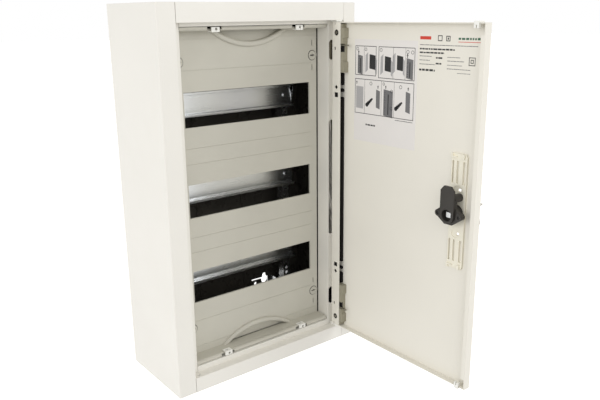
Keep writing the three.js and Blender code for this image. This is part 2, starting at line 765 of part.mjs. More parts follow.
// The black lock body: a round collar, a diamond flange with bosses and a stop post beside the cam.
function addLockBody() {
  const end = doorOuterX - LOCK_REACH;
  const start = doorInnerX - 0.2;
  const diamond = points([
    [lockY + 21, LOCK_Z - 2],
    [lockY + 21, LOCK_Z + 2],
    [lockY + 6, LOCK_Z + 13],
    [lockY - 6, LOCK_Z + 13],
    [lockY - 21, LOCK_Z + 2],
    [lockY - 21, LOCK_Z - 2],
    [lockY - 6, LOCK_Z - 12.5],
    [lockY + 6, LOCK_Z - 12.5],
  ]);
  const bossAt = (y, radius, from, to) => prism("x", circle(lockY + y, LOCK_Z, radius, 16), from, to);
  const bosses = [-LOCK.boss, LOCK.boss].map((y) => bossAt(y, 4.4, end - LOCK.bossProud, end + 7));
  const eyes = [-LOCK.boss, LOCK.boss].map((y) => bossAt(y, 2.2, end - 3, end + 4));
  const made = cut(
    join(
      prism("x", circle(lockY, LOCK_Z, LOCK.collar, 24), end, start),
      prism("x", diamond, end, end + 4.5),
      ...bosses,
      prism("x", circle(lockY - 5, LOCK_Z + 21.5, 5.5, 14), end, doorInnerX - 3.1),
      box(end, end + 4.5, lockY - 10, lockY, LOCK_Z + 8, LOCK_Z + 19),
    ),
    prism("x", circle(lockY, LOCK_Z, LOCK.bore, 28), end - 2, end + 7),
    prism("x", circle(lockY, LOCK_Z, LOCK.seat, 20), end - 2, start + 1),
    ...eyes,
  );
  piece(door, "lock_body", made, finish.blackPlastic);
}

// White glides hug the top and bottom flanges near the free edge, so that the closing door runs true.
function addGlide(name, up) {
  const y = [doorFreeY + 9, doorFreeY + 16];
  const top = DOOR_HALF_HEIGHT;
  const front = doorFlangeX - GAP;
  const outline = points([
    [front - 1.3, top + 2],
    [front - 1.3, top - 6.5],
    [front + 3.5, top - 6.5],
    [front + 3.5, top - 1.6],
    [front, top - 1.6],
    [front, top + GAP],
    [front + 10, top + GAP],
    [front + 10, top + 2],
  ]).map((p) => new THREE.Vector2(p.x, up * p.y));
  const slit = box(front - 2, front + 4, y[0] + 2.8, y[0] + 4.2, ...span(up, top - 7, top - 2.6));
  piece(door, name, cut(prism("y", forward(outline), ...y), slit), finish.whitePlastic);
}

function addInstructionLabel() {
  const label = box(doorInnerX - 0.3, doorInnerX, doorHingeY - 155, doorHingeY - 37, 69, 212);
  piece(door, "instruction_label", label, finish.paper);
}

// ---------------------------------------------------------------- wing knob, spindle and cam
const KNOB = { collar: 13.5, neck: 7, stand: 34, halfWidth: 16, waist: 8, top: 9, bottom: -23 };

function addLatch() {
  const latch = body("latch", door);
  const face = doorOuterX + GAP;
  const middle = (KNOB.top + KNOB.bottom) / 2;
  const wing = [
    [KNOB.waist, middle],
    [KNOB.halfWidth, KNOB.top - 3],
    [KNOB.halfWidth - 3, KNOB.top],
    [3 - KNOB.halfWidth, KNOB.top],
    [-KNOB.halfWidth, KNOB.top - 3],
    [-KNOB.waist, middle],
    [3 - KNOB.halfWidth, KNOB.bottom + 3],
    [6 - KNOB.halfWidth, KNOB.bottom],
    [KNOB.halfWidth - 6, KNOB.bottom],
    [KNOB.halfWidth - 3, KNOB.bottom + 3],
  ].map(([y, z]) => [lockY + y, LOCK_Z + z]);
  const knob = join(
    prism("x", circle(lockY, LOCK_Z, KNOB.collar, 24), face, face + 5),
    prism("x", circle(lockY, LOCK_Z, KNOB.neck, 20), face + 4, face + KNOB.stand - 9),
    prism("x", forward(points(wing)), face + KNOB.stand - 11, face + KNOB.stand),
  );
  piece(latch, "lock_handle", knob, finish.handle);
  // The cam lies on the lock flange. Its hub is a cup that sinks into the bore of the lock body.
  const flange = doorOuterX - LOCK_REACH;
  const far = flange - LOCK.bossProud - GAP;
  const cam = { near: flange - 3.8, hub: LOCK.bore - GAP, hole: 7.7, floor: flange + 3.4 };
  const square = (half, from, to) => box(from, to, lockY - half, lockY + half, LOCK_Z - half, LOCK_Z + half);
  piece(latch, "lock_spindle", square(3.5, cam.floor - 3, face - 0.1), finish.zinc);
  const tongue = points([
    [lockY - 10.7, LOCK_Z],
    [lockY + 10.7, LOCK_Z],
    [lockY + 10.7, LOCK_Z + 32],
    [lockY + 5.5, LOCK_Z + 38],
    [lockY - 5.5, LOCK_Z + 38],
    [lockY - 10.7, LOCK_Z + 32],
  ]);
  const made = cut(
    join(
      prism("x", tongue, cam.near, far),
      prism("x", circle(lockY, LOCK_Z, 10.7, 28), cam.near, far),
      prism("x", circle(lockY, LOCK_Z, cam.hub, 28), cam.near + 1, cam.floor + 1.6),
    ),
    prism("x", circle(lockY, LOCK_Z, cam.hole, 28), cam.near - 1, cam.floor),
    square(3.8, cam.floor - 1, cam.floor + 3),
  );
  piece(latch, "lock_cam", made, finish.blackPlastic);
}

// ---------------------------------------------------------------- sprung hinge pins
// A pin with a crank that passes in front of the block's spine: pulled inwards the pin leaves the lug.
function addHingePin(name, up) {
  const pin = body(name + "_body", door);
  const crankZ = up * 203;
  const armX = axisX - 5;
  const springTop = 188;
  const rod = prism("z", circle(axisX, axisY, PIN_RADIUS, 16), ...span(up, springTop, 237.2));
  const root = prism("x", circle(axisY, crankZ, 1.2, 8), armX - 0.8, axisX);
  const arm = prism("y", circle(armX, crankZ, 1.2, 8), doorHingeY - 31.3, axisY + 0.6);
  const thumb = prism("x", circle(doorHingeY - 30.2, crankZ, 1.2, 8), armX - 3.4, armX + 0.6);
  piece(pin, name, join(rod, root, arm, thumb), finish.zinc);
  const coil = circle(axisX, axisY, PIN_RADIUS + 0.1, 10);
  const spring = prism("z", coil, ...span(up, SPRING_END + GAP, springTop - GAP));
  piece(door, name.replace("hinge_pin", "pin_spring"), spring, finish.zinc);
}

// ---------------------------------------------------------------- assembly
addBackPanel();
addSidePanel("side_panel_left", -1, STILE_LEFT);
addSidePanel("side_panel_right", 1, STILE_RIGHT);
addEndPanel("top_panel", 1, RAIL_TOP);
addEndPanel("bottom_panel", -1, RAIL_BOTTOM);
addEntryPlate("cable_entry_plate_top", 1);
addEntryPlate("cable_entry_plate_bottom", -1);
addSideFrame("door_frame_left", -1, stileInnerLeft);
addSideFrame("door_frame_right", 1, stileInnerRight);
addEndFrame("door_frame_top", 1, recessTop);
addEndFrame("door_frame_bottom", -1, recessBottom);
addLiner();
addUpright("frame_upright_left", -1);
addUpright("frame_upright_right", 1);
rows.forEach((z, row) => {
  addRail("din_rail_" + (row + 1), z);
  addRailScrew("rail_screw_left_" + (row + 1), -UPRIGHT_X, z);
  addRailScrew("rail_screw_right_" + (row + 1), UPRIGHT_X, z);
});
addTerminals("earth", 205, finish.brass);
addTerminals("neutral", -205, finish.brass);
addDeviceCover();
for (const [level, up] of [["top", 1], ["bottom", -1]]) {
  addCoverClip("cover_clip_" + level + "_left", -CLIP_X, up);
  addCoverClip("cover_clip_" + level + "_right", CLIP_X, up);
  addCoverBracket("cover_bracket_" + level + "_left", -1, up);
  addCoverBracket("cover_bracket_" + level + "_right", 1, up);
  addTurnScrew("turn_screw_" + level + "_left", -TURN_SCREW_X, up * TURN_SCREW_Z);
  addTurnScrew("turn_screw_" + level + "_right", TURN_SCREW_X, up * TURN_SCREW_Z);
}
addHingeLug("hinge_lug_upper", 1, recessTop);
addHingeLug("hinge_lug_lower", -1, recessBottom);
addDoorPanel();
addGasket();
addHingeBlock("hinge_block_upper", 1);
addHingeBlock("hinge_block_lower", -1);
addHingeScrew("hinge_screw_upper", 1);
addHingeScrew("hinge_screw_lower", -1);
addLockPlate();
addLockBody();
addGlide("door_glide_top", 1);
addGlide("door_glide_bottom", -1);
addInstructionLabel();
addLatch();
addHingePin("hinge_pin_upper", 1);
addHingePin("hinge_pin_lower", -1);

export default cabinet;
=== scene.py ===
# Wall-mounted distribution cabinet with its door open: finishes, softened edges and small pieces, in metres.
import json
import math
import random

import bmesh
import bpy
from mathutils import Matrix, Vector


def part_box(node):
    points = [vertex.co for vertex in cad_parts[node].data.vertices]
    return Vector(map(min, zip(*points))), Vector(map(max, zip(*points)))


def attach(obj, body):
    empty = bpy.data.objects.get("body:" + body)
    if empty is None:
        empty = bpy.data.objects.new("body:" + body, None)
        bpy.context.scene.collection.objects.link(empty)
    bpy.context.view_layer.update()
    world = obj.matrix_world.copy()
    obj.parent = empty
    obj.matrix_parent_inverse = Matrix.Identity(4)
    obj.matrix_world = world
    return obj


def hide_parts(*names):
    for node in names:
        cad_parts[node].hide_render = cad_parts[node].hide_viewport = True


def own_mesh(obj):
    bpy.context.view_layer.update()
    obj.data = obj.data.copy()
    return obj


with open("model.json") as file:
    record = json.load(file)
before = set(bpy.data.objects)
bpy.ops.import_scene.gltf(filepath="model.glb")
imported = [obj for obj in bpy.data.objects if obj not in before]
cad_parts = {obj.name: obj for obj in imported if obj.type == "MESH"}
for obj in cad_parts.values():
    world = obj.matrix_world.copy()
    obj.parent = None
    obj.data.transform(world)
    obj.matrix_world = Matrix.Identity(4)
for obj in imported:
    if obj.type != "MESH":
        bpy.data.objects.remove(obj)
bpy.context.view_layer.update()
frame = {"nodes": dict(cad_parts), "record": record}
nodes = frame["nodes"]

MM = 0.001

# ---------------------------------------------------------------- places worked out from the frame
door_low, door_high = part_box("door_panel")
knob_low, knob_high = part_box("lock_handle")
spindle_low, spindle_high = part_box("lock_spindle")
label_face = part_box("instruction_label")[0].x
lock_body_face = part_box("lock_body")[0].x
housing_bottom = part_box("side_panel_left")[0].z

DOOR_SHEET = 1.0 * MM
door_inside = door_high.x - DOOR_SHEET
lock_y = (spindle_low.y + spindle_high.y) / 2
lock_z = (spindle_low.z + spindle_high.z) / 2
EACH_END = (("upper", 1), ("lower", -1))


# ---------------------------------------------------------------- materials
# The values of a noise pattern lie mostly between these two.
NOISE_LOW = 0.3
NOISE_HIGH = 0.7

# The colour sockets of a mix node: its two inputs, and its output.
MIX_FIRST = 6
MIX_SECOND = 7
MIX_RESULT = 2


def grey(value):
    return (value, value, value, 1.0)


def shade(colour, factor):
    """A colour made darker or lighter by a factor, and no brighter than white."""
    return (*(min(1.0, part * factor) for part in colour[:3]), 1.0)


def srgb(red, green, blue):
    """A colour given as on a screen, 0 to 255 in each part, turned into linear light."""
    linear = []
    for value in (red, green, blue):
        part = value / 255
        linear.append(part / 12.92 if part <= 0.04045 else ((part + 0.055) / 1.055) ** 2.4)
    return (*linear, 1.0)


class Finish:
    """A procedural material: one Principled shader, and the patterns that drive it."""

    def __init__(self, name, roughness, metallic=0.0, specular=0.5):
        self.material = bpy.data.materials.new(name)
        self.material.use_nodes = True
        self.tree = self.material.node_tree
        self.shader = self.tree.nodes["Principled BSDF"]
        self.shader.inputs["Metallic"].default_value = metallic
        self.shader.inputs["Roughness"].default_value = roughness
        self.shader.inputs["Specular IOR Level"].default_value = specular
        self.place = self.node("ShaderNodeTexCoord").outputs["Object"]

    def node(self, kind, **settings):
        made = self.tree.nodes.new(kind)
        for key, value in settings.items():
            setattr(made, key, value)
        return made

    def link(self, source, target):
        self.tree.links.new(source, target)

    def stretched(self, x, y, z):
        """The object's coordinates, stretched by these factors."""
        mapping = self.node("ShaderNodeMapping")
        mapping.inputs["Scale"].default_value = (x, y, z)
        self.link(self.place, mapping.inputs["Vector"])
        return mapping.outputs["Vector"]

    def noise(self, scale, detail, place=None):
        made = self.node("ShaderNodeTexNoise")
        made.inputs["Scale"].default_value = scale
        made.inputs["Detail"].default_value = detail
        self.link(place or self.place, made.inputs["Vector"])
        return made.outputs["Fac"]

    def ramp(self, value, low_stop, high_stop):
        """value turned into a colour: each stop is a position and the colour there."""
        made = self.node("ShaderNodeValToRGB")
        low, high = made.color_ramp.elements
        low.position, low.color = low_stop
        high.position, high.color = high_stop
        self.link(value, made.inputs["Fac"])
        return made.outputs["Color"]

    def span(self, value, low, high):
        """A noise value turned into a number from low to high."""
        made = self.node("ShaderNodeMapRange")
        made.inputs["From Min"].default_value = NOISE_LOW
        made.inputs["From Max"].default_value = NOISE_HIGH
        made.inputs["To Min"].default_value = low
        made.inputs["To Max"].default_value = high
        self.link(value, made.inputs["Value"])
        return made.outputs["Result"]

    def colour(self, base, cloud, scale):
        """The base colour with a faint cloudy variation."""
        dark = (NOISE_LOW, shade(base, 1 - cloud))
        light = (NOISE_HIGH, shade(base, 1 + cloud * 0.6))
        self.link(self.ramp(self.noise(scale, 4.0), dark, light), self.shader.inputs["Base Color"])

    def roughness(self, low, high, scale, place=None):
        made = self.span(self.noise(scale, 4.0, place), low, high)
        self.link(made, self.shader.inputs["Roughness"])

    def bump(self, heights, strength, distance):
        """heights is a list of values: each adds its own bump to the one before."""
        last = None
        for value in heights:
            made = self.node("ShaderNodeBump")
            made.inputs["Strength"].default_value = strength
            made.inputs["Distance"].default_value = distance
            self.link(value, made.inputs["Height"])
            if last:
                self.link(last, made.inputs["Normal"])
            last = made.outputs["Normal"]
        self.link(last, self.shader.inputs["Normal"])


def powder_coat(name, colour):
    """Sprayed and baked paint: a fine orange peel, satin, with the slightest cloud in its tone."""
    finish = Finish(name, 0.42)
    finish.colour(colour, 0.018, 7.0)
    finish.roughness(0.36, 0.5, 40.0)
    finish.bump([finish.noise(620.0, 2.0), finish.noise(2300.0, 1.0)], 0.16, 0.0001)
    return finish.material


def moulded(name, colour, rough, grain=1500.0, strength=0.12, cloud=0.025):
    """Injection-moulded plastic: a spark-eroded grain and small changes in sheen."""
    finish = Finish(name, rough, specular=0.4)
    finish.colour(colour, cloud, 22.0)
    finish.roughness(rough - 0.07, rough + 0.07, 60.0)
    finish.bump([finish.noise(grain, 2.0), finish.noise(90.0, 2.0)], strength, 0.00008)
    return finish.material


def zinc(name, colour, rough, along):
    """Bright zinc on rolled steel: a faint spangle, a soft cloud, and a sheen along the rolling lines."""
    finish = Finish(name, rough, metallic=1.0)
    spangle = finish.node("ShaderNodeTexVoronoi")
    spangle.inputs["Scale"].default_value = 160.0
    finish.link(finish.place, spangle.inputs["Vector"])
    tone = finish.ramp(spangle.outputs["Color"], (0.2, shade(colour, 0.98)), (0.8, colour))
    cloud = finish.ramp(finish.noise(18.0, 4.0), (NOISE_LOW, grey(0.97)), (NOISE_HIGH, grey(1.0)))
    mixed = finish.node("ShaderNodeMix", data_type="RGBA", blend_type="MULTIPLY")
    mixed.inputs["Factor"].default_value = 1.0
    finish.link(tone, mixed.inputs[MIX_FIRST])
    finish.link(cloud, mixed.inputs[MIX_SECOND])
    finish.link(mixed.outputs[MIX_RESULT], finish.shader.inputs["Base Color"])
    lines = finish.noise(420.0, 2.0, finish.stretched(*along))
    finish.link(finish.span(lines, rough - 0.01, rough + 0.015), finish.shader.inputs["Roughness"])
    return finish.material


def brass(name):
    """Drawn brass bar, with its grain along x."""
    finish = Finish(name, 0.3, metallic=1.0)
    finish.colour(srgb(196, 160, 84), 0.12, 60.0)
    drawn = finish.stretched(0.1, 1.0, 1.0)
    finish.roughness(0.24, 0.42, 120.0, drawn)
    finish.bump([finish.noise(900.0, 2.0, drawn)], 0.1, 0.00006)
    return finish.material


def foam(name):
    """Black foam texture: open cells of about half a millimetre in a matt black skin. Its black is painted
    shade, where it lies under the lip and behind the lip's holes.
    """
    finish = Finish(name, 0.9, specular=0.2)
    cells = finish.node("ShaderNodeTexVoronoi")
    cells.inputs["Scale"].default_value = 1900.0
    finish.link(finish.place, cells.inputs["Vector"])
    tone = finish.ramp(cells.outputs["Distance"], (0.1, srgb(12, 11, 10)), (0.6, srgb(30, 28, 26)))
    finish.link(tone, finish.shader.inputs["Base Color"])
    finish.bump([cells.outputs["Distance"], finish.noise(240.0, 3.0)], 0.5, 0.00025)
    return finish.material


def ink(name, colour, rough=0.55):
    """Screen-printed ink: slightly uneven cover."""
    finish = Finish(name, rough)
    finish.colour(colour, 0.1, 900.0)
    finish.roughness(rough - 0.08, rough + 0.08, 400.0)
    return finish.material


def film(name, colour):
    """Printed adhesive film with a satin face and a faint tooth."""
    finish = Finish(name, 0.5)
    finish.colour(colour, 0.012, 30.0)
    finish.roughness(0.42, 0.58, 300.0)
    finish.bump([finish.noise(1800.0, 2.0)], 0.05, 0.00004)
    return finish.material


def passivated_zinc(name):
    """Dull zinc with a warm tint, as on turned pins."""
    finish = Finish(name, 0.28, metallic=1.0)
    finish.colour(srgb(160, 157, 146), 0.08, 300.0)
    finish.roughness(0.2, 0.4, 600.0)
    finish.bump([finish.noise(1500.0, 2.0)], 0.08, 0.00004)
    return finish.material


LOOKS = {
    "housing_paint": powder_coat("housing_paint", srgb(233, 230, 222)),
    "door_paint": powder_coat("door_paint", srgb(230, 226, 215)),
    "cover_plastic": moulded("cover_plastic", srgb(196, 193, 181), 0.55, 1300.0, 0.14),
    "liner_plastic": moulded("liner_plastic", srgb(62, 59, 54), 0.3, 900.0, 0.2, 0.12),
    "zinc_steel": zinc("zinc_steel", srgb(214, 216, 217), 0.26, (0.08, 1.0, 1.0)),
    "terminal_brass": brass("terminal_brass"),
    "black_plastic": moulded("black_plastic", srgb(52, 49, 45), 0.36, 1100.0, 0.2, 0.1),
    "white_plastic": moulded("white_plastic", srgb(238, 237, 231), 0.45, 1600.0, 0.1),
    "hinge_plastic": moulded("hinge_plastic", srgb(150, 145, 127), 0.6, 1200.0, 0.2, 0.05),
    "plate_plastic": moulded("plate_plastic", srgb(234, 229, 212), 0.55, 1400.0, 0.12),
    "handle_plastic": moulded("handle_plastic", srgb(188, 184, 172), 0.42, 1400.0, 0.12),
    # The black foam stands for the lip's shadow on the door and the shade in its holes: painted shade.
    "foam_seal": foam("foam_seal"),
    "label_film": film("label_film", srgb(227, 223, 219)),
}
PIN_METAL = passivated_zinc("pin_zinc")
# Near-black used only as painted shade: in holes, gaps, slot floors, hinge windows and the lock's screw
# bosses.
PAINTED_SHADE_BLACK = moulded("painted_shade_black", srgb(30, 28, 26), 0.5, 900.0, 0.15, 0.1)
# A dark tone of the paint, as painted shade on the wall behind the notches.
SHADED_WALL = moulded("shaded_inner_wall", srgb(120, 114, 96), 0.6, 1200.0, 0.12)
DARK_INK = ink("dark_ink", srgb(34, 34, 36))
GREY_INK = ink("grey_ink", srgb(112, 111, 112))
PALE_INK = ink("pale_ink", srgb(172, 170, 170))
RED_INK = ink("red_ink", srgb(206, 62, 44))
GREEN_INK = ink("green_ink", srgb(56, 98, 72))


def paint_nodes():
    """Every part gets the finish of its own slot, and the pins a finish of their own."""
    for part in frame["record"]["subparts"]:
        mesh = nodes[part["node"]].data
        mesh.materials.clear()
        mesh.materials.append(LOOKS[part["material_slot"]])
    for name, _ in EACH_END:
        nodes["hinge_pin_" + name].data.materials[0] = PIN_METAL


# ---------------------------------------------------------------- softened edges
WELD_REACH = 0.02 * MM
FLAT_ANGLE = 1.0


def add_bevel(thing, width, segments, angle):
    """Rounds the edges sharper than angle, in degrees, by width, in millimetres."""
    bevel = thing.modifiers.new("bevel", "BEVEL")
    bevel.width = width * MM
    bevel.segments = segments
    bevel.limit_method = "ANGLE"
    bevel.angle_limit = math.radians(angle)
    bevel.harden_normals = True


def soften(part, width):
    """Rounds a part's sharp edges by width, in millimetres, and leaves its flat faces flat."""
    part.data.shade_smooth()
    weld = part.modifiers.new("weld", "WELD")
    weld.merge_threshold = WELD_REACH
    flat = part.modifiers.new("flat", "DECIMATE")
    flat.decimate_type = "DISSOLVE"
    flat.angle_limit = math.radians(FLAT_ANGLE)
    add_bevel(part, width, 3, 28)
    normals = part.modifiers.new("normals", "WEIGHTED_NORMAL")
    normals.keep_sharp = True


# The radius of a part's edges in millimetres, by what its name starts with.
EDGE_RADII = {
    "side_panel": 1.2,
    "top_panel": 0.4,
    "bottom_panel": 0.4,
    "back_panel": 0.4,
    "door_frame": 0.6,
    "cable_entry": 0.5,
    "insulating_liner": 0.4,
    "frame_upright": 0.35,
    "cover_bracket": 0.35,
    "din_rail": 0.7,
    "rail_screw": 0.3,
    "earth_": 0.3,
    "neutral_": 0.3,
    "device_cover": 0.35,
    "cover_clip": 0.3,
    "turn_screw": 0.25,
    "hinge_lug": 0.35,
    "door_panel": 0.4,
    "door_glide": 0.35,
    "hinge_block": 0.4,
    "hinge_screw": 0.25,
    "hinge_pin": 0.25,
    "lock_plate": 0.35,
    "lock_body": 0.5,
    "lock_cam": 0.6,
    "lock_spindle": 0.3,
    "instruction_label": 0.05,
}


def soften_nodes():
    for start, width in EDGE_RADII.items():
        for name in sorted(nodes):
            if name.startswith(start):
                soften(nodes[name], width)


# ---------------------------------------------------------------- building pieces
def finish_piece(name, mesh, material, body, smooth=True):
    """A new piece from a mesh in the row frame, which rides on a body."""
    mesh.materials.append(material)
    if smooth:
        mesh.shade_smooth()
    piece = bpy.data.objects.new(name, mesh)
    bpy.context.scene.collection.objects.link(piece)
    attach(piece, body)
    return piece


def mesh_from(name, build):
    """The mesh that build(bm) makes, with its faces turned outwards."""
    bm = bmesh.new()
    build(bm)
    bmesh.ops.remove_doubles(bm, verts=bm.verts, dist=1e-7)
    bmesh.ops.recalc_face_normals(bm, faces=bm.faces)
    mesh = bpy.data.meshes.new(name)
    bm.to_mesh(mesh)
    bm.free()
    return mesh


def slab(bm, outline, place, low, high):
    """A closed plate. outline is a list of (u, v), its thickness is w from low to high, and place maps
    (u, v, w) to a point."""
    rings = []
    for w in (low, high):
        rings.append([bm.verts.new(place(u, v, w)) for u, v in outline])
    bm.faces.new(rings[0][::-1])
    bm.faces.new(rings[1])
    count = len(outline)
    for i in range(count):
        j = (i + 1) % count
        bm.faces.new((rings[0][i], rings[0][j], rings[1][j], rings[1][i]))


def skin_rings(bm, rings, closed=False):
    """Joins rings of points, each a list of the same length, and caps the two ends unless closed."""
    verts = [[bm.verts.new(p) for p in ring] for ring in rings]
    count = len(verts[0])
    last = len(verts) if closed else len(verts) - 1
    for i in range(last):
        a, b = verts[i], verts[(i + 1) % len(verts)]
        for k in range(count):
            n = (k + 1) % count
            bm.faces.new((a[k], a[n], b[n], b[k]))
    if not closed:
        bm.faces.new(verts[0][::-1])
        bm.faces.new(verts[-1])


def round_edges(piece, width):
    add_bevel(piece, width, 2, 35)
    return piece


def ring_outline(u, v, radius, sides):
    """The corners of a round outline, in turn."""
    turn = 2 * math.pi / sides
    return [(u + radius * math.cos(turn * i), v + radius * math.sin(turn * i)) for i in range(sides)]


def rectangle(u0, u1, v0, v1):
    return [(u0, v0), (u1, v0), (u1, v1), (u0, v1)]


def along_x(u, v, w):
    """The place of a slab's point where the slab lies across x: u runs along y, and v up."""
    return Vector((w, u, v))


# ---------------------------------------------------------------- print on the inside of the door
# Places in the print are in millimetres: across from the hinge edge, and up from the middle of the door.
PRINT_LIFT = 0.05
OVERPRINT = 0.08


def on_door(u, v, w):
    """u from the hinge edge, v from mid-height and w off the inner face, all in millimetres."""
    return Vector((door_inside - w * MM, door_high.y - u * MM, v * MM))


def on_label(u, v, w):
    """The same, but w is measured off the face of the instruction label."""
    return Vector((label_face - w * MM, door_high.y - u * MM, v * MM))


def printed_frame(bm, u0, u1, v0, v1, line, place):
    """Four strips that make a thin printed frame."""
    slab(bm, rectangle(u0, u1, v1 - line, v1), place, 0.0, PRINT_LIFT)
    slab(bm, rectangle(u0, u1, v0, v0 + line), place, 0.0, PRINT_LIFT)
    slab(bm, rectangle(u0, u0 + line, v0 + line, v1 - line), place, 0.0, PRINT_LIFT)
    slab(bm, rectangle(u1 - line, u1, v0 + line, v1 - line), place, 0.0, PRINT_LIFT)


def printed(name, build, material):
    finish_piece(name, mesh_from(name, build), material, "door", smooth=False)


# The frames of the pictures on the instruction label: left, right, bottom and top.
PICTURES = ((38.5, 80.0, 162.5, 203.0), (84.5, 150.7, 160.5, 203.0), (38.5, 150.7, 108.5, 157.5))
PICTURE_LINE = 0.8

# The upright lines between the pictures: left, bottom and top.
DIVIDERS = (
    (56.0, 163.0, 202.5), (112.0, 161.0, 202.5), (134.0, 161.0, 202.5),
    (58.0, 109.0, 157.0), (91.0, 109.0, 157.0), (115.0, 109.0, 157.0),
)
DIVIDER_LINE = 0.4


def picture_frames(bm):
    for edges in PICTURES:
        printed_frame(bm, *edges, PICTURE_LINE, on_label)
    for u, v0, v1 in DIVIDERS:
        slab(bm, rectangle(u, u + DIVIDER_LINE, v0, v1), on_label, 0.0, PRINT_LIFT)


def small_box(bm, u, v, width, height, lean, lift=PRINT_LIFT):
    """A leaning panel, like a door or a profile in an exploded drawing."""
    outline = [(u, v), (u + width, v - lean), (u + width, v - lean + height), (u, v + height)]
    slab(bm, outline, on_label, 0.0, lift)


def arrow(bm, u, v, size):
    """A short arrow that points up."""
    head = [(u - size, v), (u + size, v), (u, v + 1.7 * size)]
    slab(bm, head, on_label, 0.0, PRINT_LIFT)
    slab(bm, rectangle(u - size * 0.35, u + size * 0.35, v - 1.6 * size, v), on_label, 0.0, PRINT_LIFT)


MARK_SIDES = 20
MARK_LINE = 0.6


def ring_mark(bm, u, v, radius):
    """A thin printed ring."""
    outer = ring_outline(u, v, radius, MARK_SIDES)
    inner = ring_outline(u, v, radius - MARK_LINE, MARK_SIDES)
    for i in range(MARK_SIDES):
        n = (i + 1) % MARK_SIDES
        slab(bm, [outer[i], outer[n], inner[n], inner[i]], on_label, 0.0, PRINT_LIFT)


# Plain shapes that stand for what the pictures show: left, bottom, width and height.
WHOLE_DOOR = (41.0, 116.0, 14.5, 31.0)
PROFILES = ((43.5, 165.0, 10.0, 26.0), (136.0, 163.5, 12.0, 26.0))
HOLLOWS = ((67.0, 172.5, 11.5, 19.5), (96.5, 171.0, 11.5, 19.5), (119.0, 173.5, 11.0, 19.0))
LINED_STRIP = (95.5, 110.0, 17.5, 36.0)
STRIPS = ((81.0, 119.5, 7.5, 25.0), LINED_STRIP, (136.5, 119.0, 8.0, 27.0))

# The places of the arrows and the tools. A tool is a row of blobs: the distance across, and the radius.
ARROWS = ((84.5, 148.0), (99.5, 149.0), (140.5, 149.5), (42.0, 152.0))
TOOLS = ((63.0, 122.0), (119.0, 121.5))
TOOL_BLOBS = ((0.0, 3.0), (2.6, 2.7), (5.2, 2.3), (7.8, 2.1), (10.0, 1.6))
TOOL_SLOPE = 0.85

# The printed rings: across, up and radius.
RINGS = (
    (43.0, 198.8, 2.3), (59.5, 198.4, 2.3), (89.0, 198.4, 2.4), (138.0, 197.4, 2.5), (146.3, 197.0, 2.5),
    (70.5, 152.0, 2.5), (95.5, 153.0, 2.0), (127.0, 151.0, 2.5), (110.5, 144.0, 2.4), (110.5, 121.0, 2.4),
)


def pale_shapes(bm):
    small_box(bm, *WHOLE_DOOR, 0.5)
    for u, v, width, _ in HOLLOWS:
        small_box(bm, u - 8.0, v - 6.0, 5.0, 24.0, -4.0)
        small_box(bm, u + width, v - 5.0, 3.0, 20.0, 3.0)


def grey_shapes(bm):
    for shape in PROFILES + STRIPS:
        small_box(bm, *shape, 2.0)


def dark_shapes(bm):
    for shape in HOLLOWS:
        small_box(bm, *shape, 1.5, OVERPRINT)
    for u, v, width, height in PROFILES:
        small_box(bm, u + width * 0.45, v + 1.0, 1.6, height - 6.0, 0.5, OVERPRINT)
        arrow(bm, u + 1.6, v + height + 3.0, 1.7)
    u, v, _, height = LINED_STRIP
    small_box(bm, u + 8.0, v + 2.0, 1.8, height - 8.0, 0.6, OVERPRINT)
    for u, v in ARROWS:
        arrow(bm, u, v, 1.5)
    for u, v in TOOLS:
        for step, radius in TOOL_BLOBS:
            blob = ring_outline(u + step, v + step * TOOL_SLOPE, radius, 12)
            slab(bm, blob, on_label, 0.0, OVERPRINT)


def line_shapes(bm):
    """Rings, and rows of short dashes of random length on the profiles and the lined strip."""
    for mark in RINGS:
        ring_mark(bm, *mark)
    dashes = random.Random(4)
    for u, v, _, height in PROFILES + (LINED_STRIP,):
        left = u + 1.2
        level = v + 2.0
        while level < v + height - 3.0:
            length = dashes.uniform(1.2, 2.8)
            slab(bm, rectangle(left, left + length, level, level + 0.5), on_label, 0.0, OVERPRINT)
            level += dashes.uniform(1.6, 3.2)


def bars(bm, rows, place, seed):
    """Rows of short bars of random length, where the real plate has print."""
    chance = random.Random(seed)
    for u, v, length, height in rows:
        at = u
        while at < u + length:
            word = min(chance.uniform(2.2, 6.5), u + length - at)
            tall = height * chance.uniform(0.82, 1.0)
            slab(bm, rectangle(at, at + word, v, v + tall), place, 0.0, PRINT_LIFT)
            at += word + height * 0.45


# Rows of bars on the label and on the type plate: left, bottom, length and height.
LABEL_BARS = ((61.0, 92.5, 19.0, 2.3), (118.0, 105.5, 32.0, 0.8))
FINE_BARS = (
    (158.0, 206.9, 90.0, 0.9), (158.0, 192.9, 20.0, 0.9), (158.0, 187.9, 17.0, 0.9),
    (158.0, 182.9, 26.0, 0.9), (203.0, 192.9, 20.0, 0.8), (203.0, 188.4, 26.0, 0.9),
    (203.0, 183.4, 23.0, 0.8), (203.0, 178.9, 36.0, 0.9), (219.0, 174.4, 20.0, 0.7),
)
BOLD_BARS = (
    (158.0, 201.4, 56.0, 2.1), (158.0, 196.9, 40.0, 2.0), (185.0, 190.9, 11.0, 2.2),
    (185.0, 183.9, 9.0, 2.2), (158.0, 174.9, 26.0, 2.6),
)
GREEN_BARS = ((219.0, 214.6, 37.5, 2.8),)

# Squares and strips on the type plate: left, right, bottom and top. A square has the width of its line too.
SQUARES = (
    (187.0, 194.0, 212.4, 219.4, 1.0), (200.0, 206.5, 212.4, 218.9, 1.0),
    (236.0, 245.5, 184.5, 194.5, 0.9), (238.6, 242.9, 187.2, 191.8, 0.9),
)
SQUARE_DOT = (202.3, 204.3, 214.4, 216.9)
RED_BAR = (158.0, 176.0, 213.9, 217.9)
RED_LINE = (219.0, 257.0, 211.6, 212.3)


